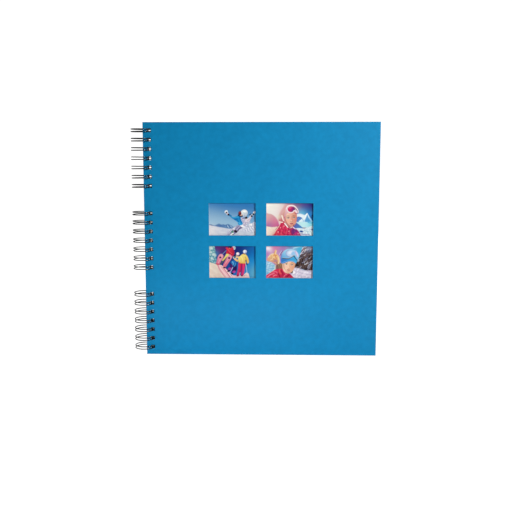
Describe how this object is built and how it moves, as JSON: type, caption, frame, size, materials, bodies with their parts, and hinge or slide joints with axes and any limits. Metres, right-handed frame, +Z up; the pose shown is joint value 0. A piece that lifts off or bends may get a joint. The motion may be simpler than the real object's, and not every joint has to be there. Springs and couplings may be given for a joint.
{
  "type": "wire-bound scrapbook album",
  "caption": "Square wire-bound scrapbook album with stiff paper-covered boards, picture windows in the front cover and black leaves that turn on double-loop wire.",
  "frame": {"origin": "midway across the closed standing album from the wire's outside to the fore-edge, on the hinge axis in depth, at the covers' bottom edges", "axes": "+Z up the album's height, +X from the wire binding to the fore-edge, the front cover faces -Y"},
  "size_m": [0.3432, 0.0288, 0.327],
  "materials": {
    "wire": "gloss black coating on steel wire",
    "board": "pale greyboard",
    "blue_paper": "matt, fine grained covering paper",
    "liner": "matt black endpaper",
    "page": "matt black album card",
    "print_top_left": "satin photographic print",
    "print_top_right": "satin photographic print",
    "print_bottom_left": "satin photographic print",
    "print_bottom_right": "satin photographic print"
  },
  "bodies": {
    "binding": {"wire_top": "wire", "wire_middle": "wire", "wire_bottom": "wire"},
    "front_cover": {"front_board": "board", "front_wrap": "blue_paper", "front_filler": "board", "front_liner": "liner", "print_top_left": "print_top_left", "print_top_right": "print_top_right", "print_bottom_left": "print_bottom_left", "print_bottom_right": "print_bottom_right"},
    "back_cover": {"back_board": "board", "back_wrap": "blue_paper", "back_liner": "liner"},
    "leaf_01": {"page_01": "page"},
    "leaf_02": {"page_02": "page"},
    "leaf_03": {"page_03": "page"},
    "leaf_04": {"page_04": "page"},
    "leaf_05": {"page_05": "page"},
    "leaf_06": {"page_06": "page"},
    "leaf_07": {"page_07": "page"},
    "leaf_08": {"page_08": "page"},
    "leaf_09": {"page_09": "page"},
    "leaf_10": {"page_10": "page"},
    "leaf_11": {"page_11": "page"},
    "leaf_12": {"page_12": "page"},
    "leaf_13": {"page_13": "page"},
    "leaf_14": {"page_14": "page"},
    "leaf_15": {"page_15": "page"},
    "leaf_16": {"page_16": "page"},
    "leaf_17": {"page_17": "page"},
    "leaf_18": {"page_18": "page"},
    "leaf_19": {"page_19": "page"},
    "leaf_20": {"page_20": "page"},
    "leaf_21": {"page_21": "page"},
    "leaf_22": {"page_22": "page"},
    "leaf_23": {"page_23": "page"},
    "leaf_24": {"page_24": "page"}
  },
  "joints": [
    {"name": "front_cover_hinge", "type": "hinge", "parent": "binding", "child": "front_cover", "pos_m": [-0.15726, 0, 0.1635], "axis": [0, 0, -1], "range_deg": [0, 180]},
    {"name": "back_cover_hinge", "type": "hinge", "parent": "binding", "child": "back_cover", "pos_m": [-0.15726, 0, 0.1635], "axis": [0, 0, 1], "range_deg": [0, 60]},
    {"name": "leaf_01_hinge", "type": "hinge", "parent": "binding", "child": "leaf_01", "pos_m": [-0.15726, 0, 0.1635], "axis": [0, 0, -1], "range_deg": [0, 172.8]},
    {"name": "leaf_02_hinge", "type": "hinge", "parent": "binding", "child": "leaf_02", "pos_m": [-0.15726, 0, 0.1635], "axis": [0, 0, -1], "range_deg": [0, 165.6]},
    {"name": "leaf_03_hinge", "type": "hinge", "parent": "binding", "child": "leaf_03", "pos_m": [-0.15726, 0, 0.1635], "axis": [0, 0, -1], "range_deg": [0, 158.4]},
    {"name": "leaf_04_hinge", "type": "hinge", "parent": "binding", "child": "leaf_04", "pos_m": [-0.15726, 0, 0.1635], "axis": [0, 0, -1], "range_deg": [0, 151.2]},
    {"name": "leaf_05_hinge", "type": "hinge", "parent": "binding", "child": "leaf_05", "pos_m": [-0.15726, 0, 0.1635], "axis": [0, 0, -1], "range_deg": [0, 144]},
    {"name": "leaf_06_hinge", "type": "hinge", "parent": "binding", "child": "leaf_06", "pos_m": [-0.15726, 0, 0.1635], "axis": [0, 0, -1], "range_deg": [0, 136.8]},
    {"name": "leaf_07_hinge", "type": "hinge", "parent": "binding", "child": "leaf_07", "pos_m": [-0.15726, 0, 0.1635], "axis": [0, 0, -1], "range_deg": [0, 129.6]},
    {"name": "leaf_08_hinge", "type": "hinge", "parent": "binding", "child": "leaf_08", "pos_m": [-0.15726, 0, 0.1635], "axis": [0, 0, -1], "range_deg": [0, 122.4]},
    {"name": "leaf_09_hinge", "type": "hinge", "parent": "binding", "child": "leaf_09", "pos_m": [-0.15726, 0, 0.1635], "axis": [0, 0, -1], "range_deg": [0, 115.2]},
    {"name": "leaf_10_hinge", "type": "hinge", "parent": "binding", "child": "leaf_10", "pos_m": [-0.15726, 0, 0.1635], "axis": [0, 0, -1], "range_deg": [0, 108]},
    {"name": "leaf_11_hinge", "type": "hinge", "parent": "binding", "child": "leaf_11", "pos_m": [-0.15726, 0, 0.1635], "axis": [0, 0, -1], "range_deg": [0, 100.8]},
    {"name": "leaf_12_hinge", "type": "hinge", "parent": "binding", "child": "leaf_12", "pos_m": [-0.15726, 0, 0.1635], "axis": [0, 0, -1], "range_deg": [0, 93.6]},
    {"name": "leaf_13_hinge", "type": "hinge", "parent": "binding", "child": "leaf_13", "pos_m": [-0.15726, 0, 0.1635], "axis": [0, 0, -1], "range_deg": [0, 86.4]},
    {"name": "leaf_14_hinge", "type": "hinge", "parent": "binding", "child": "leaf_14", "pos_m": [-0.15726, 0, 0.1635], "axis": [0, 0, -1], "range_deg": [0, 79.2]},
    {"name": "leaf_15_hinge", "type": "hinge", "parent": "binding", "child": "leaf_15", "pos_m": [-0.15726, 0, 0.1635], "axis": [0, 0, -1], "range_deg": [0, 72]},
    {"name": "leaf_16_hinge", "type": "hinge", "parent": "binding", "child": "leaf_16", "pos_m": [-0.15726, 0, 0.1635], "axis": [0, 0, -1], "range_deg": [0, 64.8]},
    {"name": "leaf_17_hinge", "type": "hinge", "parent": "binding", "child": "leaf_17", "pos_m": [-0.15726, 0, 0.1635], "axis": [0, 0, -1], "range_deg": [0, 57.6]},
    {"name": "leaf_18_hinge", "type": "hinge", "parent": "binding", "child": "leaf_18", "pos_m": [-0.15726, 0, 0.1635], "axis": [0, 0, -1], "range_deg": [0, 50.4]},
    {"name": "leaf_19_hinge", "type": "hinge", "parent": "binding", "child": "leaf_19", "pos_m": [-0.15726, 0, 0.1635], "axis": [0, 0, -1], "range_deg": [0, 43.2]},
    {"name": "leaf_20_hinge", "type": "hinge", "parent": "binding", "child": "leaf_20", "pos_m": [-0.15726, 0, 0.1635], "axis": [0, 0, -1], "range_deg": [0, 36]},
    {"name": "leaf_21_hinge", "type": "hinge", "parent": "binding", "child": "leaf_21", "pos_m": [-0.15726, 0, 0.1635], "axis": [0, 0, -1], "range_deg": [0, 28.8]},
    {"name": "leaf_22_hinge", "type": "hinge", "parent": "binding", "child": "leaf_22", "pos_m": [-0.15726, 0, 0.1635], "axis": [0, 0, -1], "range_deg": [0, 21.6]},
    {"name": "leaf_23_hinge", "type": "hinge", "parent": "binding", "child": "leaf_23", "pos_m": [-0.15726, 0, 0.1635], "axis": [0, 0, -1], "range_deg": [0, 14.4]},
    {"name": "leaf_24_hinge", "type": "hinge", "parent": "binding", "child": "leaf_24", "pos_m": [-0.15726, 0, 0.1635], "axis": [0, 0, -1], "range_deg": [0, 7.2]}
  ],
  "couplings": [
    {"joint": "leaf_01_hinge", "follows": "front_cover_hinge", "ratio": 0.96},
    {"joint": "leaf_02_hinge", "follows": "front_cover_hinge", "ratio": 0.92},
    {"joint": "leaf_03_hinge", "follows": "front_cover_hinge", "ratio": 0.88},
    {"joint": "leaf_04_hinge", "follows": "front_cover_hinge", "ratio": 0.84},
    {"joint": "leaf_05_hinge", "follows": "front_cover_hinge", "ratio": 0.8},
    {"joint": "leaf_06_hinge", "follows": "front_cover_hinge", "ratio": 0.76},
    {"joint": "leaf_07_hinge", "follows": "front_cover_hinge", "ratio": 0.72},
    {"joint": "leaf_08_hinge", "follows": "front_cover_hinge", "ratio": 0.68},
    {"joint": "leaf_09_hinge", "follows": "front_cover_hinge", "ratio": 0.64},
    {"joint": "leaf_10_hinge", "follows": "front_cover_hinge", "ratio": 0.6},
    {"joint": "leaf_11_hinge", "follows": "front_cover_hinge", "ratio": 0.56},
    {"joint": "leaf_12_hinge", "follows": "front_cover_hinge", "ratio": 0.52},
    {"joint": "leaf_13_hinge", "follows": "front_cover_hinge", "ratio": 0.48},
    {"joint": "leaf_14_hinge", "follows": "front_cover_hinge", "ratio": 0.44},
    {"joint": "leaf_15_hinge", "follows": "front_cover_hinge", "ratio": 0.4},
    {"joint": "leaf_16_hinge", "follows": "front_cover_hinge", "ratio": 0.36},
    {"joint": "leaf_17_hinge", "follows": "front_cover_hinge", "ratio": 0.32},
    {"joint": "leaf_18_hinge", "follows": "front_cover_hinge", "ratio": 0.28},
    {"joint": "leaf_19_hinge", "follows": "front_cover_hinge", "ratio": 0.24},
    {"joint": "leaf_20_hinge", "follows": "front_cover_hinge", "ratio": 0.2},
    {"joint": "leaf_21_hinge", "follows": "front_cover_hinge", "ratio": 0.16},
    {"joint": "leaf_22_hinge", "follows": "front_cover_hinge", "ratio": 0.12},
    {"joint": "leaf_23_hinge", "follows": "front_cover_hinge", "ratio": 0.08},
    {"joint": "leaf_24_hinge", "follows": "front_cover_hinge", "ratio": 0.04}
  ]
}
